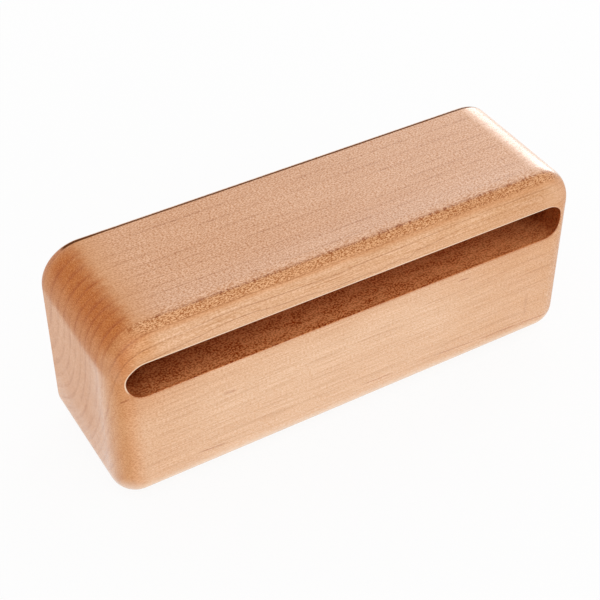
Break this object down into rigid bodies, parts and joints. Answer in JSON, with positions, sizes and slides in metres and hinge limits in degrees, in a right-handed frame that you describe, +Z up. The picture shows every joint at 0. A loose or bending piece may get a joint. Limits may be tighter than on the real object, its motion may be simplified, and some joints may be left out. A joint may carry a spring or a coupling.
{
  "type": "woodblock",
  "caption": "Oblong solid maple woodblock with rounded edges and a deep sound slot along the upper front, struck on its flat top with a beater.",
  "frame": {"origin": "middle of the underside, on the surface that the block stands on", "axes": "+X along the block and its grain, -Y out of the mouth of the sound slot, +Z up to the playing face"},
  "size_m": [0.2, 0.06, 0.08],
  "materials": {
    "maple": "satin clear lacquer over plain maple"
  },
  "bodies": {
    "root": {"block": "maple"}
  },
  "joints": []
}
